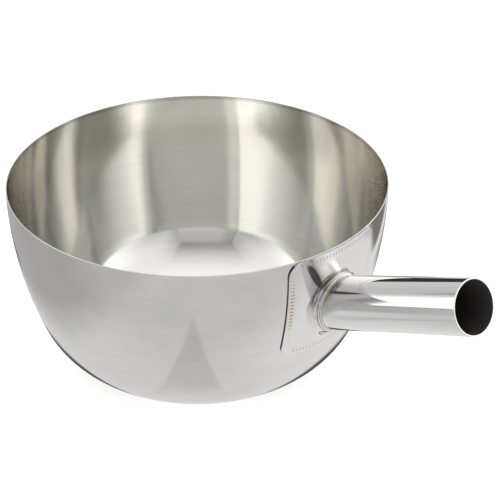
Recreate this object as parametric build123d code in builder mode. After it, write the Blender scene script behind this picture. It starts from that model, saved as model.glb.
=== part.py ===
from build123d import *

import os
from math import asin, atan2, cos, degrees, radians, sin, sqrt, tan

# Candle melting pot: a deep round-bottomed steel bowl, with a hollow tube for a handle.
# The tube stands in the drawn neck of a saddle plate, which is seam welded to the bowl.
# Millimetres, +Z up. The origin is the centre of the flat base, and the handle points along +X.

# Bowl, measured on its outer skin
bowl_radius = 120.0
bowl_height = 126.0
wall_arc_radius = 248.0
corner_radius = 58.5
bowl_thickness = 0.8
rim_rounding = 0.25

# Saddle plate, which lies on the bowl's wall just below the rim
saddle_thickness = 1.0
saddle_top_width = 73.0
saddle_bottom_width = 68.0
saddle_height = 72.0
saddle_bottom_bow = 4.0
saddle_corner_radius = 9.0
saddle_below_rim = 0.4
saddle_fit = 0.05

# Swelling drawn out of the plate between the rim and the neck
swell_to_seam_gap = 0.4
swell_top_width = 52.0
swell_top_rise = 0.2
swell_foot_margin = 1.4
swell_foot_rise = 3.0

# Neck drawn out of the plate: its mouth is a vertical plane, and its sides flare towards the bowl
mouth_above_saddle_bottom = 34.4
neck_height = 5.5
neck_flare = 3.5

# Handle tube, which leans up out of the neck and stops short of the bowl's wall
tube_radius = 16.5
tube_thickness = 1.0
tube_length = 107.5
tube_tilt = 22.5
tube_end_rounding = 0.3
tube_fit = 0.05
tube_to_bowl_gap = 0.3

# Bead of weld around the tube, on the lip of the neck
bead_width = 0.9
bead_length = 1.1
bead_rounding = 0.5

# Roller seam weld: a chain of flat spots close inside each edge of the saddle plate
spot_width = 2.6
spot_length = 1.5
spot_pitch = 2.3
spot_height = 0.12
track_inset = 2.9

# Worked out from the sizes above
junction = degrees(asin((bowl_height - corner_radius) / (wall_arc_radius - corner_radius)))
flat_radius = (
    bowl_radius
    - wall_arc_radius * (1 - cos(radians(junction)))
    - corner_radius * cos(radians(junction))
)
saddle_top = bowl_height - saddle_below_rim
saddle_bottom = saddle_top - saddle_height
mouth_height = saddle_bottom + mouth_above_saddle_bottom
tube_axis = Vector(cos(radians(tube_tilt)), 0, sin(radians(tube_tilt)))
neck_radius = tube_radius + tube_fit + saddle_thickness
swell_below_rim = saddle_below_rim + track_inset + spot_width / 2 + swell_to_seam_gap


def skin_radius(height):
    """Radius of the bowl's outer skin at a height above its base."""
    if height < corner_radius * (1 - sin(radians(junction))):
        return flat_radius + sqrt(corner_radius**2 - (corner_radius - height) ** 2)
    return bowl_radius - wall_arc_radius + sqrt(wall_arc_radius**2 - (bowl_height - height) ** 2)


mouth_x = skin_radius(mouth_height) + neck_height
mouth_centre = Vector(mouth_x, 0, mouth_height)
# Far enough back to clear the wall where it is furthest away, at the low side and at the neck's flanks
neck_depth = mouth_x - skin_radius(mouth_height - 2 * neck_radius) + neck_radius**2 / bowl_radius
tube_end = mouth_centre + tube_axis * tube_length


def bowl_volume(inset):
    """The space inside the bowl's outer skin, with the skin moved inwards by the inset."""
    with BuildPart() as volume:
        with BuildSketch(Plane.XZ):
            with BuildLine():
                Line((0, inset), (flat_radius, inset))
                CenterArc((flat_radius, corner_radius), corner_radius - inset, -90, 90 - junction)
                CenterArc(
                    (bowl_radius - wall_arc_radius, bowl_height),
                    wall_arc_radius - inset,
                    -junction,
                    junction,
                )
                Polyline((bowl_radius - inset, bowl_height), (0, bowl_height), (0, inset))
            make_face()
        revolve(axis=Axis.Z)
    return volume.part


def swell_volume(inset):
    """The space inside the swelling: a cone between the round sections at its top and at its foot."""
    foot_width = 2 * (neck_radius + swell_foot_margin)
    stations = [
        (bowl_height - swell_below_rim, swell_top_width, swell_top_rise),
        (mouth_height, foot_width, swell_foot_rise),
    ]
    with BuildPart() as volume:
        for height, width, rise in stations:
            plate_radius = skin_radius(height) + saddle_thickness
            # An arc that stands proud of the plate by the rise, halfway along a chord of that width
            radius = 1 / (8 * rise / width**2 + 1 / plate_radius)
            with BuildSketch(Plane.XY.offset(height)):
                with Locations((plate_radius + rise - radius, 0)):
                    Circle(radius - inset)
        loft(ruled=True)
    return volume.part


def neck_volume(inset):
    """The space inside the neck: an oval cone from its mouth to a plane behind the bowl's wall."""
    with BuildPart() as volume:
        for depth, flare in [(0, 0), (neck_depth, neck_flare)]:
            with BuildSketch(Plane.YZ.offset(mouth_x - depth)):
                with Locations((0, mouth_height - depth * tan(radians(tube_tilt)))):
                    Ellipse(
                        neck_radius + flare - inset,
                        neck_radius / cos(radians(tube_tilt)) + flare - inset,
                    )
        loft(ruled=True)
    return volume.part


bowl_outside = bowl_volume(0)
bowl_inside = bowl_volume(bowl_thickness)
saddle_limit = bowl_volume(-saddle_fit)
plate_outside = bowl_volume(-saddle_thickness)
spots_outside = bowl_volume(-saddle_thickness - spot_height)
tube_limit = bowl_volume(-tube_to_bowl_gap)
swell_outside = swell_volume(0)
swell_inside = swell_volume(saddle_thickness)
neck_outside = neck_volume(0)
neck_inside = neck_volume(saddle_thickness)

os.makedirs("parts", exist_ok=True)

# Bowl: spun from one sheet, with its cut rim rounded over
with BuildPart() as bowl:
    add(bowl_outside)
    add(bowl_inside, mode=Mode.SUBTRACT)
    fillet(bowl.edges().group_by(Axis.Z)[-1], rim_rounding)

bowl.part.label = "bowl"
export_step(bowl.part, "parts/bowl.step")

# Saddle plate: a slice of the bowl's shape, one thickness further out, with the swelling and the neck
with BuildPart() as saddle:
    add(plate_outside)
    add(swell_outside)
    with BuildSketch(Plane.YZ) as outline:
        with BuildLine():
            Polyline(
                (-saddle_bottom_width / 2, saddle_bottom + saddle_bottom_bow),
                (-saddle_top_width / 2, saddle_top),
                (saddle_top_width / 2, saddle_top),
                (saddle_bottom_width / 2, saddle_bottom + saddle_bottom_bow),
            )
            ThreePointArc(
                (saddle_bottom_width / 2, saddle_bottom + saddle_bottom_bow),
                (0, saddle_bottom),
                (-saddle_bottom_width / 2, saddle_bottom + saddle_bottom_bow),
            )
        make_face()
        fillet(outline.vertices(), saddle_corner_radius)
    extrude(amount=2 * bowl_radius, mode=Mode.INTERSECT)
    add(neck_outside)
    add(saddle_limit, mode=Mode.SUBTRACT)
    add(swell_inside, mode=Mode.SUBTRACT)
    add(neck_inside, mode=Mode.SUBTRACT)

saddle.part.label = "handle_saddle"
export_step(saddle.part, "parts/handle_saddle.step")

# Handle tube: open at its far end, and cut at its near end to follow the bowl's wall
with BuildPart() as tube:
    with BuildSketch(Plane(origin=tube_end, x_dir=(0, 1, 0), z_dir=tube_axis)):
        Circle(tube_radius)
        Circle(tube_radius - tube_thickness, mode=Mode.SUBTRACT)
    extrude(amount=-(tube_length + 2 * neck_depth))
    add(tube_limit, mode=Mode.SUBTRACT)
    rim_face = tube.faces().sort_by(Axis(mouth_centre, tube_axis))[-1]
    fillet(rim_face.edges(), tube_end_rounding)

tube.part.label = "handle_tube"
export_step(tube.part, "parts/handle_tube.step")

# Bead of weld: an oval ring on the lip of the neck, close round the tube
with BuildPart() as bead:
    with BuildSketch(Plane.YZ.offset(mouth_x)):
        with Locations((0, mouth_height)):
            Ellipse(
                tube_radius + bead_width,
                (tube_radius + bead_width) / cos(radians(tube_tilt)),
            )
            Ellipse(tube_radius, tube_radius / cos(radians(tube_tilt)), mode=Mode.SUBTRACT)
    extrude(amount=bead_length, dir=tube_axis)
    bead_front = bead.faces().filter_by(Plane.YZ).sort_by(Axis.X)[-1]
    fillet(bead_front.edges().sort_by(Edge.length)[-1], bead_rounding)

bead.part.label = "tube_weld"
export_step(bead.part, "parts/tube_weld.step")


def seam_weld(start, finish, bow):
    """Chain of weld spots on the plate, between two points seen along X, with a sag in the middle."""
    run = finish - start
    count = int(run.length // spot_pitch)
    across = degrees(atan2(run.Y, run.X)) + 90
    with BuildPart() as seam:
        with BuildSketch(Plane.YZ):
            for index in range(count + 1):
                along = index / count
                with Locations(start + run * along - Vector(0, 4 * bow * along * (1 - along))):
                    SlotOverall(spot_width, spot_length, rotation=across)
        extrude(amount=2 * bowl_radius)
        add(spots_outside, mode=Mode.INTERSECT)
        add(plate_outside, mode=Mode.SUBTRACT)
    return seam.part


# The seam welds run parallel to the plate's edges, between its rounded corners
side_top = Vector(saddle_top_width / 2 - track_inset, saddle_top - saddle_corner_radius)
side_bottom = Vector(
    saddle_bottom_width / 2 - track_inset,
    saddle_bottom + saddle_bottom_bow + saddle_corner_radius,
)
level_top = Vector(saddle_top_width / 2 - saddle_corner_radius, saddle_top - track_inset)
level_bottom = Vector(
    saddle_bottom_width / 2 - saddle_corner_radius,
    saddle_bottom + saddle_bottom_bow / 2 + track_inset,
)


def other_side(point):
    return Vector(-point.X, point.Y)


seam_runs = {
    "seam_weld_left": (other_side(side_bottom), other_side(side_top), 0),
    "seam_weld_right": (side_bottom, side_top, 0),
    "seam_weld_top": (other_side(level_top), level_top, 0),
    "seam_weld_bottom": (other_side(level_bottom), level_bottom, saddle_bottom_bow / 2),
}
for name, (start, finish, bow) in seam_runs.items():
    seam = seam_weld(start, finish, bow)
    seam.label = name
    export_step(seam, f"parts/{name}.step")
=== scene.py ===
from math import asin, atan2, cos, pi, radians, sin, sqrt, tan

import bpy
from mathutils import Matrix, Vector


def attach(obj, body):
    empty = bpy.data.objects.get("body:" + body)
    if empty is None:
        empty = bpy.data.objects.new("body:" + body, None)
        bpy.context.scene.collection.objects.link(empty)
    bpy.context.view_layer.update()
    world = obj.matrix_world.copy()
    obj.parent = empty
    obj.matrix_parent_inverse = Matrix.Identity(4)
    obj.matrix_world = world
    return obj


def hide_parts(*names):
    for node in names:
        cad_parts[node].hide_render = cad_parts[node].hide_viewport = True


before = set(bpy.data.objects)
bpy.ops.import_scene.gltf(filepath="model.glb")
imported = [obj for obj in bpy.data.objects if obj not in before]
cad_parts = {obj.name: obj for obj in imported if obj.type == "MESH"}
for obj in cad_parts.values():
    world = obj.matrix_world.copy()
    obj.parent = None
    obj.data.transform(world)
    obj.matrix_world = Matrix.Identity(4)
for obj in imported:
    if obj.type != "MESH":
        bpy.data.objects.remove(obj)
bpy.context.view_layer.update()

# Steel melting pot: spun bowl, drawn saddle plate with its neck, tube handle and the welds.
# Sizes of the pieces are in millimetres, and finishes and the studio in metres. +Z is up.
mm = 0.001
cameraPlace = {"spot": (0.7116, -0.6605, 0.6436), "looking": (-0.6116, 0.6076, -0.5068), "lens": 125.8}
up = Vector((0, 0, 1))
toCamera = -Vector((*cameraPlace["looking"][:2], 0)).normalized()  # level, back towards the camera
toRight = up.cross(toCamera)  # level, to the camera's right
print("frame loaded")


class Wire:
    # one number travelling between shader nodes, so that sums can be written as sums
    def __init__(self, paint, plug):
        self.paint, self.plug = paint, plug

    def maths(self, operation, first, second=None):
        values = {0: first} if second is None else {0: first, 1: second}
        return self.paint.wire("ShaderNodeMath", {"operation": operation}, values)

    def __add__(self, other):
        return self.maths("ADD", self, other)

    def __radd__(self, other):
        return self.maths("ADD", other, self)

    def __sub__(self, other):
        return self.maths("SUBTRACT", self, other)

    def __rsub__(self, other):
        return self.maths("SUBTRACT", other, self)

    def __mul__(self, other):
        return self.maths("MULTIPLY", self, other)

    def __rmul__(self, other):
        return self.maths("MULTIPLY", other, self)

    def __truediv__(self, other):
        return self.maths("DIVIDE", self, other)

    def __pow__(self, other):
        return self.maths("POWER", self, other)

    def size(self):
        return self.maths("ABSOLUTE", self)

    def root(self):
        return self.maths("SQRT", self)

    def most(self, other):
        return self.maths("MAXIMUM", self, other)

    def least(self, other):
        return self.maths("MINIMUM", self, other)


class Paint:
    # one material, with the few kinds of node that this file needs
    def __init__(self, name, **constants):
        self.material = bpy.data.materials.new(name)
        self.material.use_nodes = True
        self.tree = self.material.node_tree
        self.tree.nodes.clear()
        self.shader = self.node("ShaderNodeBsdfPrincipled", {}, constants)
        self.node("ShaderNodeOutputMaterial", {}, {"Surface": self.shader.outputs[0]})
        place = self.node("ShaderNodeTexCoord", {}, {}).outputs["Object"]
        self.place = place
        axes = self.node("ShaderNodeSeparateXYZ", {}, {"Vector": place})
        self.x, self.y, self.z = (Wire(self, plug) for plug in axes.outputs)

    def node(self, kind, settings, values):
        made = self.tree.nodes.new(kind)
        for name, setting in settings.items():
            if name == "stops":
                ramp = made.color_ramp
                while len(ramp.elements) < len(setting):
                    ramp.elements.new(0.5)
                for element, stop in zip(ramp.elements, setting):
                    element.position = stop[0]
                for element, stop in zip(ramp.elements, setting):  # coloured once they are in order
                    element.color = (*stop[1], 1)
            else:
                setattr(made, name, setting)
        for name, value in values.items():
            socket = made.inputs[name.replace("_", " ") if isinstance(name, str) else name]
            if isinstance(value, Wire):
                value = value.plug
            if isinstance(value, bpy.types.NodeSocket):
                self.tree.links.new(value, socket)
            elif isinstance(value, tuple) and socket.type == "RGBA":
                socket.default_value = (*value, 1)
            else:
                socket.default_value = value
        return made

    def wire(self, kind, settings, values, output=0):
        return Wire(self, self.node(kind, settings, values).outputs[output])

    def fade(self, value, start, end):
        return self.wire(
            "ShaderNodeMapRange",
            {"interpolation_type": "SMOOTHSTEP"},
            {"Value": value, "From_Min": start, "From_Max": end},
        )

    def band(self, value, low, high, soft):
        return self.fade(value, low - soft, low) * self.fade(value, high + soft, high)

    def vector(self, x, y, z):
        return self.wire("ShaderNodeCombineXYZ", {}, {0: x, 1: y, 2: z})

    def noise(self, where, scale=1.0, detail=3.0, roughness=0.5):
        values = {"Vector": where, "Scale": scale, "Detail": detail, "Roughness": roughness}
        return self.wire("ShaderNodeTexNoise", {}, values, "Fac")

    def ramp(self, value, stops):
        return self.wire("ShaderNodeValToRGB", {"stops": stops}, {"Fac": value})

    def mix(self, factor, first, second, blend="MIX"):
        settings = {"data_type": "RGBA", "blend_type": blend}
        return self.wire("ShaderNodeMix", settings, {0: factor, 6: first, 7: second}, 2)

    def toned(self, colour, tone):
        return self.mix(1.0, colour, self.vector(tone, tone, tone), blend="MULTIPLY")

    def along(self, way):
        return self.x * way.x + self.y * way.y

    def set(self, **varying):
        for name, value in varying.items():
            self.tree.links.new(value.plug, self.shader.inputs[name.replace("_", " ")])

    def bump(self, height, distance, strength=1.0):
        values = {"Height": height, "Distance": distance, "Strength": strength}
        self.set(Normal=self.wire("ShaderNodeBump", {}, values))


def deselectAll():
    bpy.ops.object.select_all(action="DESELECT")


def work(piece, kind="VERT"):
    # into edit mode on one piece, with nothing selected yet
    if bpy.context.object and bpy.context.object.mode != "OBJECT":
        bpy.ops.object.mode_set(mode="OBJECT")
    deselectAll()
    piece.select_set(True)
    bpy.context.view_layer.objects.active = piece
    bpy.ops.object.mode_set(mode="EDIT")
    bpy.ops.mesh.select_mode(type=kind)
    bpy.ops.mesh.select_all(action="DESELECT")


def leave():
    bpy.ops.object.mode_set(mode="OBJECT")


def pickEdges(piece, test):
    work(piece, "EDGE")
    leave()
    points = piece.data.vertices
    for edge in piece.data.edges:
        edge.select = test(*(points[index].co for index in edge.vertices))
    bpy.ops.object.mode_set(mode="EDIT")


def cleanUp(piece):
    work(piece)
    bpy.ops.mesh.select_all(action="SELECT")
    bpy.ops.mesh.remove_doubles(threshold=0.000002)
    bpy.ops.mesh.normals_make_consistent(inside=False)
    leave()


def modify(piece, kind, **settings):
    bpy.context.view_layer.objects.active = piece
    added = piece.modifiers.new(kind.lower(), kind)
    for name, value in settings.items():
        setattr(added, name, value)
    bpy.ops.object.modifier_apply(modifier=added.name)


def coat(piece, *paints):
    # slots are filled before the modifiers, which pick from them for the inside and the cut edge
    for paint in paints:
        piece.data.materials.append(paint.material)


def settle(piece, name):
    # places go into the mesh, and the piece takes its name and its smooth shading
    deselectAll()
    piece.select_set(True)
    bpy.context.view_layer.objects.active = piece
    bpy.ops.object.transform_apply(location=True, rotation=True, scale=True)
    bpy.ops.object.shade_smooth_by_angle(angle=radians(38))
    piece.name = piece.data.name = name
    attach(piece, "root")
    print("made", name, len(piece.data.polygons), "faces")


def between(first, second, share):
    return first + (second - first) * share


# The bowl's profile, which the plate and the tube follow too
bowlSize = {
    "rimRadius": 120.0,
    "height": 126.0,
    "wallArc": 248.0,
    "cornerArc": 58.5,
    "sheet": 0.8,
    "rimRounding": 0.25,
    "segments": 288,
}
joinAngle = asin(
    (bowlSize["height"] - bowlSize["cornerArc"]) / (bowlSize["wallArc"] - bowlSize["cornerArc"])
)
flatRadius = (
    bowlSize["rimRadius"]
    - bowlSize["wallArc"] * (1 - cos(joinAngle))
    - bowlSize["cornerArc"] * cos(joinAngle)
)

# Finishes of the bowl, with the strengths of the glow and shades painted into the inside. Spun sheet is
# brushed along its rings: run is a length along the bowl's section
bowlLook = {
    "outsideTints": ((0.762, 0.757, 0.735), (0.773, 0.757, 0.722)),
    "lowTint": (0.762, 0.752, 0.722),
    "highTint": (0.765, 0.752, 0.697),
    "floorTint": (0.75, 0.756, 0.718),
    "farGlow": 0.26,
    "farShade": 0.2,
    "endShade": 0.22,
    "underRim": 0.3,
}


def sheetFinish(name, shine, streaks, smudge, **constants):
    paint = Paint(name, Metallic=1.0, **constants)
    radius = (paint.x * paint.x + paint.y * paint.y).root()
    run = radius + paint.z
    lines = paint.noise(paint.vector(paint.x * 5, paint.y * 5, run * 900), detail=4, roughness=0.65)
    clouds = paint.noise(paint.vector(paint.x * 48, paint.y * 48, run * 70), detail=4)
    tone = 1 + (lines - 0.5) * streaks + (clouds - 0.5) * smudge
    paint.bump(lines, 0.0000012)
    return paint, tone, clouds, (clouds + 0.5) * shine


outsideSteel, tone, clouds, shine = sheetFinish("polishedOutside", 0.1, 0.08, 0.16)
colour = outsideSteel.mix(outsideSteel.fade(clouds, 0.35, 0.62), *bowlLook["outsideTints"])
outsideSteel.set(Base_Color=outsideSteel.toned(colour, tone), Roughness=shine)

# Warmer towards the rim. The glow and the shades are light painted into the steel, along the camera's
# direction, where the studio's reflections fall short
insideSteel, tone, clouds, shine = sheetFinish(
    "brushedInside", 0.08, 0.15, 0.08, Anisotropic=0.9, Anisotropic_Rotation=0.25
)
rim = bowlSize["rimRadius"] * mm
ahead = insideSteel.along(-toCamera) / rim
aside = (insideSteel.along(toRight) / rim).size()
height = insideSteel.z
farGlow = insideSteel.fade(ahead, 0.83, 0.92) * insideSteel.fade(height, 0.1, 0.115)
farShade = insideSteel.band(ahead, 0.7, 0.82, 0.06) * insideSteel.fade(height, 0.085, 0.105)
endShade = insideSteel.fade(aside, 0.78, 0.9) * insideSteel.fade(height, 0.114, 0.09)
# painted shade, all round just under the rim
underRim = insideSteel.fade(height, 0.1225, 0.125)
tone = tone * (1 + farGlow * bowlLook["farGlow"]) * (1 - farShade * bowlLook["farShade"])
tone = tone * (1 - endShade * bowlLook["endShade"]) * (1 - underRim * bowlLook["underRim"])
colour = insideSteel.mix(insideSteel.fade(height, 0.045, 0.1), bowlLook["lowTint"], bowlLook["highTint"])
colour = insideSteel.mix(insideSteel.fade(height, 0.014, 0.004), colour, bowlLook["floorTint"])
insideSteel.set(
    Base_Color=insideSteel.toned(colour, tone),
    Roughness=shine * (1 - insideSteel.fade(height, 0.012, 0.004) * 0.5),
)

rimSteel = Paint("rimEdge", Metallic=1.0)
rimGrain = rimSteel.noise(rimSteel.place, scale=900)
rimSteel.set(
    Base_Color=rimSteel.mix(rimGrain, (0.82, 0.81, 0.78), (0.95, 0.94, 0.92)),
    Roughness=0.16 + rimGrain * 0.1,
)


def skinRadius(height):
    corner = bowlSize["cornerArc"]
    if height < corner * (1 - sin(joinAngle)):
        return flatRadius + sqrt(corner**2 - (corner - height) ** 2)
    wall = bowlSize["wallArc"]
    return bowlSize["rimRadius"] - wall + sqrt(wall**2 - (bowlSize["height"] - height) ** 2)


def bowlStations():
    # radius and height of each ring, from the middle of the base up to the rim
    stations = [(flatRadius * share, 0) for share in (0.2, 0.4, 0.6, 0.8, 0.93, 1)]
    corner, wall = bowlSize["cornerArc"], bowlSize["wallArc"]
    for step in range(1, 31):
        angle = (pi / 2 - joinAngle) * step / 30
        stations.append((flatRadius + corner * sin(angle), corner * (1 - cos(angle))))
    for step in [*range(1, 38), 37.8, 38]:
        angle = joinAngle * (1 - step / 38)
        stations.append(
            (bowlSize["rimRadius"] - wall * (1 - cos(angle)), bowlSize["height"] - wall * sin(angle))
        )
    return stations


def makeBowl():
    stations = bowlStations()
    radius = stations[0][0]
    bpy.ops.mesh.primitive_circle_add(
        vertices=bowlSize["segments"], radius=radius * mm, fill_type="NOTHING", location=(0, 0, 0)
    )
    bowl = bpy.context.object
    work(bowl)
    bpy.ops.mesh.select_all(action="SELECT")
    height = 0
    for wider, higher in stations[1:]:
        bpy.ops.mesh.extrude_edges_move(
            TRANSFORM_OT_translate={"value": (0, 0, (higher - height) * mm)}
        )
        grown = wider / radius
        bpy.ops.transform.resize(value=(grown, grown, 1), center_override=(0, 0, 0))
        radius, height = wider, higher
    first = stations[0][0] * mm
    pickEdges(bowl, lambda a, b: max(a.xy.length, b.xy.length) < first * 1.01)
    bpy.ops.mesh.edge_face_add()
    cleanUp(bowl)
    coat(bowl, outsideSteel, insideSteel, rimSteel)
    modify(
        bowl,
        "SOLIDIFY",
        thickness=bowlSize["sheet"] * mm,
        offset=-1,
        use_even_offset=True,
        material_offset=1,
        material_offset_rim=2,
    )
    top = bowlSize["height"] * mm - 0.00001
    pickEdges(
        bowl,
        lambda a, b: min(a.z, b.z) > top and abs(a.xy.length - b.xy.length) < 0.0001,
    )
    bpy.ops.mesh.bevel(
        offset=bowlSize["rimRounding"] * mm, segments=4, profile=0.5, affect="EDGES"
    )
    leave()
    settle(bowl, "bowlShell")
    return bowl


deselectAll()
bowlShell = makeBowl()
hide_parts("bowl")

# Saddle plate: a rounded plate draped on the wall, a swelling under the rim, and the neck that holds the tube
plateSize = {
    "sheet": 1.0,
    "gap": 0.05,
    "topWidth": 73.0,
    "bottomWidth": 68.0,
    "height": 72.0,
    "bow": 4.0,
    "corner": 9.0,
    "belowRim": 0.4,
    "swellTop": 5.0,
    "swellTopWidth": 52.0,
    "swellTopRise": 0.2,
    "swellFootWidth": 37.9,
    "swellFootRise": 3.0,
    "swellBlend": 1.1,
    "mouthHeight": 88.0,
    "mouthRadius": 17.55,
    "neckHeight": 5.5,
    "neckFlare": 3.5,
    "neckDepth": 16.16,
    "fillet": 3.6,
    "tilt": 22.5,
    "around": 256,
    "neckSteps": 5,
    "filletSteps": 9,
    "plateSteps": 26,
}
mouthX = skinRadius(plateSize["mouthHeight"]) + plateSize["neckHeight"]
mouth = Vector((mouthX, 0, plateSize["mouthHeight"]))
plateTop = bowlSize["height"] - plateSize["belowRim"]
slant = tan(radians(plateSize["tilt"]))

# polished, with grainy weld metal under the rim, painted shade in the hollow beside the swelling and round
# the neck, and straw heat tint beside the left seam
plateLook = {
    "polish": (0.8, 0.793, 0.78),
    "straw": (0.72, 0.6, 0.46),
    "paintedShadeTint": (0.07, 0.062, 0.052),
    "shearingAndShade": ((0.03, 0.029, 0.028), (0.13, 0.125, 0.12)),
}
plateSteel = Paint("polishedPlate", Metallic=1.0)
across, height = plateSteel.y, plateSteel.z
plateGrain = plateSteel.noise(plateSteel.place, scale=260, detail=4)
weldGrain = plateSteel.noise(plateSteel.place, scale=1100, detail=5, roughness=0.7)
drift = (plateGrain - 0.5) * 0.0016

underRim = plateSteel.fade(height, 0.1155, 0.1205) * plateSteel.fade(across, -0.021, -0.015)
bottomRow = plateSteel.band(height, 0.0572, 0.0608, 0.0012) * plateSteel.band(across, -0.026, 0.026, 0.004)
roughened = (underRim + bottomRow * 0.35).least(1.0)
strawHalo = plateSteel.band(across, -0.0345, -0.0312, 0.0016) * plateSteel.band(height, 0.081, 0.1, 0.006)

# painted shade: the hollow left of the swelling, a crescent beside the foot of the neck and a line by its lip
# are darkened
valleyDown = (height - 0.1125) / 0.0108  # the hollow left of the swelling
valleyOff = (across + drift + 0.0185 + valleyDown * 0.0055) / 0.003
valley = plateSteel.fade(valleyOff * valleyOff + valleyDown * valleyDown, 1.25, 0.25)
fromNeck = height - mouth.z * mm
ring = (across * across + fromNeck * fromNeck * 0.86).root() + drift  # distance out from the neck's middle
streaks = plateSteel.noise(plateSteel.vector(ring * 1900, height * 90, across * 60), detail=2)
crescent = plateSteel.band(ring, 0.0186, 0.0212, 0.0013) * plateSteel.fade(across, 0.001, -0.009)
crescent = crescent * plateSteel.fade(height, 0.0835, 0.0975) * plateSteel.fade(streaks, 0.34, 0.58)
lipLine = plateSteel.band(plateSteel.x, (mouth.x - 1.7) * mm, (mouth.x - 1.1) * mm, 0.0003)
lipLine = lipLine * plateSteel.fade(ring, 0.0205, 0.0192)
paintedShadeMask = (valley * 1.3 + crescent + lipLine * 0.6).least(1.0) * (0.75 + weldGrain * 0.4).least(1.0)

tone = 1 + (plateGrain - 0.5) * 0.05 + (weldGrain - 0.5) * roughened * 0.7 + roughened * 0.02
colour = plateSteel.mix(strawHalo * 0.3, plateLook["polish"], plateLook["straw"])
# the painted shade darkens the plate's colour in those places
colour = plateSteel.mix(paintedShadeMask * 0.95, colour, plateLook["paintedShadeTint"])
plateSteel.set(
    Base_Color=plateSteel.toned(colour, tone),
    Roughness=0.05 + plateGrain * 0.05 + (roughened + valley * 0.5).least(1.0) * 0.2,
)
plateSteel.bump((weldGrain - 0.5) * roughened + plateGrain * 0.01, 0.00012)

# the plate's cut edge: dark sheared steel, with painted shade of the crevice along the plate's edge
cutSteel = Paint("shearedEdgeAndShade", Metallic=1.0)
shearMarks = cutSteel.noise(cutSteel.vector(cutSteel.x * 300, cutSteel.y * 300, cutSteel.z * 1500))
cutSteel.set(
    Base_Color=cutSteel.mix(shearMarks, *plateLook["shearingAndShade"]), Roughness=0.35 + shearMarks * 0.2
)


def smoothMost(first, second, blend):
    overlap = max(blend - abs(first - second), 0) / blend
    return max(first, second) + overlap**2 * blend / 4


def plateFront(across, height):
    # outer surface of the plate and its swelling, as a distance along X
    size = plateSize
    plate = sqrt((skinRadius(height) + size["sheet"]) ** 2 - across**2)
    top, foot = bowlSize["height"] - size["swellTop"], size["mouthHeight"]
    if height < foot:
        return plate
    ends = []
    stations = (
        (top, size["swellTopWidth"], size["swellTopRise"]),
        (foot, size["swellFootWidth"], size["swellFootRise"]),
    )
    for level, width, rise in stations:
        sheetRadius = skinRadius(level) + size["sheet"]
        radius = 1 / (8 * rise / width**2 + 1 / sheetRadius)
        ends.append((sheetRadius + rise - radius, radius))
    share = (top - height) / (top - foot)
    centre = between(ends[0][0], ends[1][0], share)
    radius = between(ends[0][1], ends[1][1], share)
    if abs(across) >= radius:
        return plate
    swell = centre + sqrt(radius**2 - across**2)
    blend = size["swellBlend"] * min(1, max(0.02, (plateTop - height) / 9))
    return smoothMost(plate, swell, blend)


def outlinePoints():
    # the plate's outline seen along X, with rounded corners, as (across, height)
    size = plateSize
    bottom = plateTop - size["height"]
    half, low = size["topWidth"] / 2, size["bottomWidth"] / 2
    corners = [
        (low, bottom + size["bow"]),
        (half, plateTop),
        (-half, plateTop),
        (-low, bottom + size["bow"]),
    ]
    points = []
    for index, corner in enumerate(corners):
        here = Vector(corner)
        before = (Vector(corners[index - 1]) - here).normalized()
        after = (Vector(corners[(index + 1) % 4]) - here).normalized()
        if corner[1] < bottom + size["bow"] + 1:  # the bottom edge leaves its corners with a little sag
            lean = 2 * size["bow"] / low
            side = -1 if corner[0] > 0 else 1
            flat = Vector((side, -lean)).normalized()
            before, after = (flat, after) if index == 0 else (before, flat)
        halfAngle = before.angle(after) / 2
        reach = size["corner"] / tan(halfAngle)
        middle = here + (before + after).normalized() * (size["corner"] / sin(halfAngle))
        start, end = here + before * reach, here + after * reach
        a0 = atan2(*(start - middle).yx)
        a1 = atan2(*(end - middle).yx)
        turn = (a1 - a0 + pi) % (2 * pi) - pi
        for step in range(17):
            angle = a0 + turn * step / 16
            points.append(middle + Vector((cos(angle), sin(angle))) * size["corner"])
    first, last = points[0], points[-1]
    for step in range(1, 24):  # the sagging bottom edge, from the left corner to the right one
        share = step / 24
        across = between(last.x, first.x, share)
        drop = (last.y - bottom) * (1 - (2 * share - 1) ** 2)
        points.append(Vector((across, between(last.y, first.y, share) - drop)))
    return points


def outlineAt(points, middle, angle):
    # where a line from the middle, at that angle, leaves the outline
    way = Vector((cos(angle), sin(angle)))
    furthest = 0
    for start, end in zip(points, points[1:] + points[:1]):
        side = end - start
        cross = way.cross(side)
        if abs(cross) < 1e-12:
            continue
        offset = start - middle
        reach, share = offset.cross(side) / cross, offset.cross(way) / cross
        if -1e-9 <= share <= 1 + 1e-9 and reach > furthest:
            furthest = reach
    return middle + way * furthest


def neckPoint(angle, depth):
    size = plateSize
    grown = size["neckFlare"] * depth / size["neckDepth"]
    tall = size["mouthRadius"] / cos(radians(size["tilt"]))
    return Vector(
        (
            mouthX - depth,
            (size["mouthRadius"] + grown) * cos(angle),
            size["mouthHeight"] - depth * slant + (tall + grown) * sin(angle),
        )
    )


def draped(spot):
    return Vector((plateFront(spot.x, spot.y), spot.x, spot.y))


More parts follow.
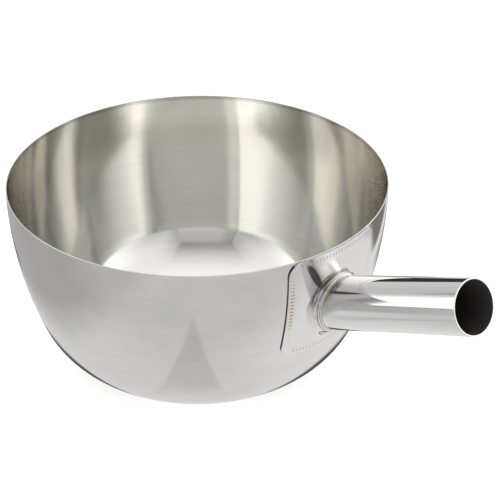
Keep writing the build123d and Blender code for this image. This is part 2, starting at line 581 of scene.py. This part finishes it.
def plateSection(angle, outline):
    # from the lip of the neck, round the fillet at its foot, and out to the plate's edge
    size = plateSize
    low, high = 0.0, size["neckDepth"]
    for _ in range(40):
        depth = (low + high) / 2
        spot = neckPoint(angle, depth)
        if spot.x > plateFront(spot.y, spot.z):
            low = depth
        else:
            high = depth
    foot = neckPoint(angle, low)
    edge = outlineAt(outline, Vector((0, size["mouthHeight"] - 2)), angle)
    flatFoot = Vector((foot.y, foot.z))
    reach = (edge - flatFoot).length
    leaveNeck = max(low - size["fillet"], low * 0.25)
    joinPlate = min(size["fillet"], reach * 0.5) / reach
    start = neckPoint(angle, leaveNeck)
    finish = draped(flatFoot.lerp(edge, joinPlate))
    neckSteps = size["neckSteps"]
    points = [neckPoint(angle, leaveNeck * step / neckSteps) for step in range(neckSteps)]
    for step in range(size["filletSteps"]):
        share = step / size["filletSteps"]
        points.append(start.lerp(foot, share).lerp(foot.lerp(finish, share), share))
    steps = size["plateSteps"]
    shares = [step / steps for step in range(steps)] + [1 - 0.35 / reach, 1]
    points += [draped(flatFoot.lerp(edge, between(joinPlate, 1, share))) for share in shares]
    return points


def makePlate():
    size = plateSize
    outline = outlinePoints()
    rows = size["neckSteps"] + size["filletSteps"] + size["plateSteps"] + 1
    around = size["around"]
    bpy.ops.mesh.primitive_grid_add(x_subdivisions=around, y_subdivisions=rows, size=2)
    plate = bpy.context.object
    sections = [plateSection(2 * pi * step / around, outline) for step in range(around)]
    for vertex in plate.data.vertices:  # the flat grid is wrapped round the neck
        column = round((vertex.co.x + 1) / 2 * around) % around
        row = round((vertex.co.y + 1) / 2 * rows)
        vertex.co = sections[column][row] * mm
    cleanUp(plate)
    if sum(face.normal.x < 0 for face in plate.data.polygons) > len(plate.data.polygons) / 2:
        work(plate)
        bpy.ops.mesh.select_all(action="SELECT")
        bpy.ops.mesh.flip_normals()
        leave()
    coat(plate, plateSteel, cutSteel)
    modify(
        plate,
        "SOLIDIFY",
        thickness=(size["sheet"] - size["gap"]) * mm,
        offset=-1,
        use_even_offset=True,
        material_offset_rim=1,
    )
    modify(
        plate,
        "BEVEL",
        width=0.00014,
        segments=2,
        limit_method="ANGLE",
        angle_limit=radians(60),
        material=-1,
    )
    for face in plate.data.polygons:  # the lip and the top edge are polished like the plate
        if face.material_index == 1 and (face.normal.x > 0.8 or face.normal.z > 0.8):
            face.material_index = 0
    settle(plate, "saddlePlate")
    return plate


saddlePlate = makePlate()
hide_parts("handle_saddle")

# Handle tube, which leans up out of the neck
tubeSize = {
    "radius": 16.5,
    "sheet": 1.0,
    "length": 107.5,
    "endRounding": 0.3,
    "wallGap": 0.3,
    "segments": 160,
    "rings": (0.6, 2.0, 30.0, 60.0, 85.0, 100.0),
}
tubeWay = Vector((cos(radians(plateSize["tilt"])), 0, sin(radians(plateSize["tilt"]))))
tubeEnd = mouth + tubeWay * tubeSize["length"]


def axisPlaces(paint):
    # place along the tube past the neck's mouth, and the two places across it
    along = (paint.x - mouth.x * mm) * tubeWay.x + (paint.z - mouth.z * mm) * tubeWay.z
    across = (paint.z - mouth.z * mm) * tubeWay.x - (paint.x - mouth.x * mm) * tubeWay.z
    return along, across


tubeLook = {
    "polish": (0.79, 0.79, 0.785),
    "tint": (0.56, 0.52, 0.44),
    "bore": ((0.045, 0.037, 0.032), (0.075, 0.063, 0.055)),
    "sawn": ((0.8, 0.79, 0.77), (0.95, 0.94, 0.93)),
}
tubeSteel = Paint("polishedTube", Metallic=1.0)
along, across = axisPlaces(tubeSteel)
drawLines = tubeSteel.noise(tubeSteel.vector(along * 9, tubeSteel.y * 1100, across * 1100), detail=3)
tubeGrain = tubeSteel.noise(tubeSteel.place, scale=1300, detail=5, roughness=0.7)
tint = tubeSteel.fade(along + (tubeGrain - 0.5) * 0.012, 0.018, 0.004)
tint = tint * tubeSteel.fade(tubeSteel.y, 0.004, -0.004) * tubeSteel.fade(across, -0.004, 0.005)
tone = 1 + (drawLines - 0.5) * 0.05 + (tubeGrain - 0.5) * tint * 0.9
colour = tubeSteel.mix(tint * 0.6, tubeLook["polish"], tubeLook["tint"])
tubeSteel.set(Base_Color=tubeSteel.toned(colour, tone), Roughness=0.03 + drawLines * 0.03 + tint * 0.2)
tubeSteel.bump(drawLines * 0.02 + (tubeGrain - 0.5) * tint, 0.00008)

# the bore: dark unpolished steel, with painted shade for the inside of the tube
boreSteel = Paint("darkBore", Metallic=0.0, Specular_IOR_Level=0.25)
boreScale = boreSteel.noise(boreSteel.place, scale=320, detail=5)
boreSteel.set(Base_Color=boreSteel.mix(boreScale, *tubeLook["bore"]), Roughness=0.55 + boreScale * 0.25)
endSteel = Paint("sawnEnd", Metallic=1.0)
sawMarks = endSteel.noise(endSteel.place, scale=1200)
endSteel.set(Base_Color=endSteel.mix(sawMarks, *tubeLook["sawn"]), Roughness=0.2 + sawMarks * 0.15)


def offAxis(spot):
    fromMouth = spot - mouth * mm
    return (fromMouth - tubeWay * fromMouth.dot(tubeWay)).length


def makeTube():
    whole = tubeSize["length"] + 30  # the near end is cut back to the wall below
    middle = tubeEnd - tubeWay * (whole / 2)
    bpy.ops.mesh.primitive_cylinder_add(
        vertices=tubeSize["segments"],
        radius=tubeSize["radius"] * mm,
        depth=whole * mm,
        end_fill_type="NOTHING",
        location=middle * mm,
        rotation=(0, radians(90 - plateSize["tilt"]), 0),
    )
    tube = bpy.context.object
    bpy.ops.object.transform_apply(location=True, rotation=True, scale=True)
    # cut to the slope of the bowl's wall, just clear of it
    height = plateSize["mouthHeight"] - 3
    rise = 1.0
    wallWay = Vector((2 * rise, 0, skinRadius(height - rise) - skinRadius(height + rise))).normalized()
    wallSpot = Vector((skinRadius(height), 0, height)) + wallWay * tubeSize["wallGap"]
    work(tube)
    bpy.ops.mesh.select_all(action="SELECT")
    bpy.ops.mesh.bisect(plane_co=wallSpot * mm, plane_no=wallWay, clear_inner=True)
    for back in tubeSize["rings"]:
        bpy.ops.mesh.select_all(action="SELECT")
        bpy.ops.mesh.bisect(plane_co=(tubeEnd - tubeWay * back) * mm, plane_no=tubeWay)
    cleanUp(tube)
    wallFace = tube.data.polygons[0]
    if offAxis(wallFace.center + wallFace.normal * mm) < offAxis(wallFace.center):
        work(tube)
        bpy.ops.mesh.select_all(action="SELECT")
        bpy.ops.mesh.flip_normals()
        leave()
    coat(tube, tubeSteel, boreSteel, endSteel)
    modify(
        tube,
        "SOLIDIFY",
        thickness=tubeSize["sheet"] * mm,
        offset=-1,
        use_even_offset=True,
        material_offset=1,
        material_offset_rim=2,
    )
    reach = tubeEnd.dot(tubeWay) * mm - 0.00001
    pickEdges(
        tube,
        lambda a, b: min(a.dot(tubeWay), b.dot(tubeWay)) > reach and abs(offAxis(a) - offAxis(b)) < 0.0002,
    )
    bpy.ops.mesh.bevel(
        offset=tubeSize["endRounding"] * mm, segments=4, profile=0.5, affect="EDGES"
    )
    leave()
    settle(tube, "handleTube")
    return tube


handleTube = makeTube()
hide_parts("handle_tube")

# Weld bead on the lip of the neck, round the tube
beadSize = {"offTube": 0.46, "thick": 0.44, "forward": 0.5, "around": 192, "section": 14}

beadSteel = Paint("weldBead", Metallic=1.0)
beadGrain = beadSteel.noise(beadSteel.place, scale=650, detail=4)
beadSteel.set(
    Base_Color=beadSteel.mix(beadGrain, (0.74, 0.73, 0.7), (0.93, 0.92, 0.9)),
    Roughness=0.1 + beadGrain * 0.12,
)
beadSteel.bump(beadGrain, 0.00022)


def makeBead():
    bpy.ops.mesh.primitive_torus_add(
        major_segments=beadSize["around"],
        minor_segments=beadSize["section"],
        major_radius=(tubeSize["radius"] + beadSize["offTube"]) * mm,
        minor_radius=beadSize["thick"] * mm,
        location=(mouth + tubeWay * beadSize["forward"]) * mm,
        rotation=(0, pi / 2, 0),
    )
    bead = bpy.context.object
    bpy.ops.object.transform_apply(location=False, rotation=True, scale=True)
    bead.scale = (1, 1, 1 / cos(radians(plateSize["tilt"])))
    coat(bead, beadSteel)
    settle(bead, "neckBead")
    return bead


neckBead = makeBead()
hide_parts("tube_weld")

# Roller seam weld: one flat ripple is made, and copied along each edge of the plate
seamSize = {"wide": 2.6, "long": 0.95, "high": 0.1, "pitch": 2.45, "inset": 2.9}

# heat tint up the left run, from its low end to its high end
seamHeat = [
    (0.0, (0.78, 0.77, 0.75)),
    (0.22, (0.78, 0.77, 0.75)),
    (0.29, (0.58, 0.39, 0.23)),
    (0.5, (0.5, 0.35, 0.21)),
    (0.68, (0.47, 0.4, 0.31)),
    (0.9, (0.6, 0.59, 0.57)),
    (1.0, (0.76, 0.75, 0.73)),
]
seamSteel = Paint("seamWeld", Metallic=1.0)
seamGrain = seamSteel.noise(seamSteel.place, scale=900, detail=4)
leftRun = seamSteel.fade(seamSteel.y, -0.0275, -0.0295) * seamSteel.fade(seamSteel.z, 0.118, 0.1165)
seamTint = seamSteel.ramp((seamSteel.z - 0.066) / 0.052, seamHeat)
seamSteel.set(
    Base_Color=seamSteel.mix(leftRun, (0.6, 0.59, 0.57), seamTint),
    Roughness=0.26 + seamGrain * 0.2 - leftRun * 0.12,
)
seamSteel.bump(seamGrain, 0.00006)


def rippleAt(spot, along):
    # the place and the three directions of a flattened ball, sunk halfway into the plate
    across, height = spot
    step = 0.2
    here = draped(Vector((across, height)))
    slopeY = (draped(Vector((across + step, height))) - here).normalized()
    slopeZ = (draped(Vector((across, height + step))) - here).normalized()
    outwards = slopeY.cross(slopeZ).normalized()
    run = (slopeY * along.x + slopeZ * along.y).normalized()
    side = outwards.cross(run)
    return here, run, side, outwards


def makeSeam(name, node, start, finish, sag):
    run = finish - start
    count = round(run.length / seamSize["pitch"])
    ripples = []
    bpy.ops.mesh.primitive_uv_sphere_add(segments=20, ring_count=10, radius=1, location=(0, 0, 0))
    pattern = bpy.context.object
    for index in range(count + 1):
        share = index / count
        spot = start + run * share - Vector((0, 4 * sag * share * (1 - share)))
        here, along, side, outwards = rippleAt(spot, run.normalized())
        ripple = pattern.copy()
        ripple.data = pattern.data.copy()
        bpy.context.collection.objects.link(ripple)
        for vertex in ripple.data.vertices:
            ball = vertex.co
            vertex.co = (
                here
                + along * ball.x * seamSize["long"] / 2
                + side * ball.y * seamSize["wide"] / 2
                + outwards * ball.z * seamSize["high"]
            ) * mm
        ripples.append(ripple)
    bpy.data.objects.remove(pattern)
    deselectAll()
    for ripple in ripples:
        ripple.select_set(True)
    bpy.context.view_layer.objects.active = ripples[0]
    bpy.ops.object.join()
    seam = bpy.context.object
    cleanUp(seam)
    coat(seam, seamSteel)
    settle(seam, name)
    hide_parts(node)


def mirrored(spot):
    return Vector((-spot.x, spot.y))


inset, corner = seamSize["inset"], plateSize["corner"]
plateBottom = plateTop - plateSize["height"]
sideTop = Vector((plateSize["topWidth"] / 2 - inset, plateTop - corner))
sideLow = Vector((plateSize["bottomWidth"] / 2 - inset, plateBottom + plateSize["bow"] + corner))
levelTop = Vector((plateSize["topWidth"] / 2 - corner, plateTop - inset))
levelLow = Vector((plateSize["bottomWidth"] / 2 - corner, plateBottom + plateSize["bow"] / 2 + inset))
makeSeam("seamLeft", "seam_weld_left", mirrored(sideLow), mirrored(sideTop), 0)
makeSeam("seamRight", "seam_weld_right", sideLow, sideTop, 0)
makeSeam("seamTop", "seam_weld_top", mirrored(levelTop), levelTop, 0)
makeSeam("seamBottom", "seam_weld_bottom", mirrored(levelLow), levelLow, plateSize["bow"] / 2)
print("pieces made")

# Studio: a light tent lined up with the camera, which only reflections see, and a pale floor.
# deep is the tent's reach in metres, and the other sizes are shares of it
tentSize = {"deep": 2.6, "left": 0.514, "right": 0.323, "back": 0.24, "high": 1.03}
tentLight = {
    "sideHigh": 1.12,
    "sideHighFront": 0.53,
    "leftLow": 1.5,
    "leftLowFront": 0.45,
    "leftLowBack": 0.7,
    "rightLow": 1.64,
    "rightLowFront": 0.66,
    "ceiling": 1.2,
    "ceilingFront": 0.3,
    "front": 0.68,
    "backWall": 0.63,
    "creases": 0.6,
    "darkCard": 0.94,
}
deep, high, back = tentSize["deep"], tentSize["high"], -tentSize["back"]


def tentPanel(name, middle, wayOne, wayTwo, halfOne, halfTwo):
    bpy.ops.mesh.primitive_plane_add(size=2, location=(0, 0, 0))
    panel = bpy.context.object
    for vertex in panel.data.vertices:
        vertex.co = middle + wayOne * vertex.co.x * halfOne + wayTwo * vertex.co.y * halfTwo
    panel.name = panel.data.name = name
    paint = Paint(
        name,
        Base_Color=(0.0, 0.0, 0.0),
        Roughness=1.0,
        Specular_IOR_Level=0.0,
        Emission_Strength=1.0,
    )
    paint.right, paint.front = paint.along(toRight), paint.along(toCamera)
    panel.data.materials.append(paint.material)
    panel.visible_camera = False
    return paint


halfHigh = deep * high / 2
halfLong = deep * (1 - back) / 2
halfWide = deep * (tentSize["left"] + tentSize["right"]) / 2
endMiddle = toCamera * (deep - halfLong)
sideMiddle = toRight * deep * (tentSize["right"] - tentSize["left"]) / 2
leftMiddle = endMiddle - toRight * deep * tentSize["left"] + up * halfHigh
rightMiddle = endMiddle + toRight * deep * tentSize["right"] + up * halfHigh


def upperSide(paint, place):
    level = between(tentLight["sideHigh"], tentLight["sideHighFront"], paint.fade(place, 0.02, 1.02))
    return level - paint.fade(place, 0.05, back) * 0.12


paint = tentPanel("tentLeft", leftMiddle, toCamera, up, halfLong, halfHigh)
place = paint.front / deep
lower = between(tentLight["leftLow"], tentLight["leftLowFront"], paint.fade(place, -0.08, 0.68))
lower = lower - paint.fade(place, -0.08, -0.22) * (tentLight["leftLow"] - tentLight["leftLowBack"])
rise = paint.fade(paint.z / deep, 0.33, 0.64)
paint.set(Emission_Color=between(lower, upperSide(paint, place), rise))

paint = tentPanel("tentRight", rightMiddle, toCamera, up, halfLong, halfHigh)
place = paint.front / deep
lower = between(tentLight["rightLow"], tentLight["rightLowFront"], paint.fade(place, -0.15, 0.46))
rise = paint.fade(paint.z / deep, 0.22, 0.5)
paint.set(Emission_Color=between(lower, upperSide(paint, place), rise))

# folds at the front panel's left edge and at its top show as dark lines
frontMiddle = sideMiddle + toCamera * deep + up * halfHigh
paint = tentPanel("tentFront", frontMiddle, toRight, up, halfWide, halfHigh)
place = paint.z / deep
level = tentLight["front"] - paint.fade(place, 0.5, 0) * 0.08 - paint.fade(place, 0.55, 0.65) * 0.1
level = level - paint.fade(place, 0.86, high) * 0.08
level = level * (1 - paint.fade(paint.right, -0.7, -1.1) * 0.24)
leftEdge, topEdge = -deep * tentSize["left"], deep * high
creases = paint.fade(paint.right, leftEdge + 0.045, leftEdge + 0.01)
creases = (creases + paint.fade(paint.z, topEdge - 0.03, topEdge - 0.01)).least(1.0)
paint.set(Emission_Color=level * (1 - creases * tentLight["creases"]))

# the dark card gives the handle its dark strip
backMiddle = sideMiddle + toCamera * deep * back + up * halfHigh
paint = tentPanel("tentBack", backMiddle, toRight, up, halfWide, halfHigh)
place = paint.z / deep
level = tentLight["backWall"] + paint.fade(place, 0.05, 0) * 0.27 + paint.band(place, 0.14, 0.17, 0.06) * 0.07
level = level - paint.fade(place, 0.265, 0.3) * paint.fade(place, 0.42, 0.3) * 0.2
level = level + paint.fade(place, 0.4, high) * 0.17 + paint.fade(paint.right, 0.4, 0.6) * 0.35
darkCard = paint.band(paint.right, -0.22, 0.26, 0.012) * paint.band(paint.z, 0.07, 0.326, 0.012)
paint.set(Emission_Color=level * (1 - darkCard * tentLight["darkCard"]))

paint = tentPanel("tentCeiling", sideMiddle + endMiddle + up * topEdge, toRight, toCamera, halfWide, halfLong)
fall = paint.fade(paint.front / deep, -0.08, 1.13)
paint.set(Emission_Color=between(tentLight["ceiling"], tentLight["ceilingFront"], fall))

# What the steel sees of the table: brighter close in and on the right, with the pot's own shade under its
# sides and a soft wedge of shade in front, which are drawn on this card
paint = tentPanel("tableCard", Vector((0, 0, -0.0006)), toRight, toCamera, 2.4, 2.4)
right, front, aside = paint.right, paint.front, paint.right.size()
level = 0.66 + paint.fade(front, 0.19, 0.1) * 0.1
level = level + paint.fade(right, 0.02, 0.09) * paint.fade(front, 0.2, 0.1) * 0.08
level = level - paint.fade(right, -0.1, -0.185) * (0.1 + paint.fade(front, 0.21, 0.09) * 0.2)
wedge = paint.fade((right + 0.0045).size() - (0.214 - front) * 0.245, 0.0025, -0.0025)
wedge = wedge * paint.fade(front, 0.085, 0.125)
oval = ((right / 0.116).size() ** 2.7) + (((front + 0.02) / 0.088).size() ** 2.7)
shade = paint.fade(oval, 1.05, 0.82) * paint.fade(aside + (front * -1).most(0.0), 0.026, 0.05)
# more painted shade drawn on the card, behind the pot and off to its back right
behind = paint.fade(front, -0.06, -0.11) * paint.fade(aside, 0.185, 0.165)
farSide = paint.band(right, 0.205, 0.32, 0.006) * paint.fade(front, -0.05, -0.09)
level = level * (1 - wedge * 0.17) * (1 - shade * (0.9 - paint.fade(front, -0.02, -0.07) * 0.5))
paint.set(Emission_Color=level * (1 - behind * 0.6) * (1 - farSide * 0.75))

bpy.ops.mesh.primitive_plane_add(size=12, location=(0, 0, -0.0003))
floor = bpy.context.object
floor.name = floor.data.name = "paleFloor"
floorPaint = Paint(
    "paleFloor",
    Base_Color=(0.6, 0.6, 0.6),
    Roughness=0.9,
    Emission_Color=(1.0, 1.0, 1.0),
    Emission_Strength=0.72,
)
floor.data.materials.append(floorPaint.material)
floor.visible_glossy = False

world = bpy.data.worlds.new("studioAir")
world.use_nodes = True
air = world.node_tree.nodes["Background"]
air.inputs["Color"].default_value = (1, 1, 1, 1)
air.inputs["Strength"].default_value = 1.0
scene = bpy.context.scene
scene.world = world
scene.view_settings.view_transform = "Standard"
scene.cycles.max_bounces = 20
scene.cycles.glossy_bounces = 16

cameraData = bpy.data.cameras.new("studioCamera")
cameraData.lens = cameraPlace["lens"]
cameraData.sensor_width = 36
cameraData.clip_start, cameraData.clip_end = 0.05, 20
camera = bpy.data.objects.new("studioCamera", cameraData)
scene.collection.objects.link(camera)
camera.location = cameraPlace["spot"]
camera.rotation_mode = "QUATERNION"
camera.rotation_quaternion = Vector(cameraPlace["looking"]).to_track_quat("-Z", "Y")
scene.camera = camera
print("studio made")
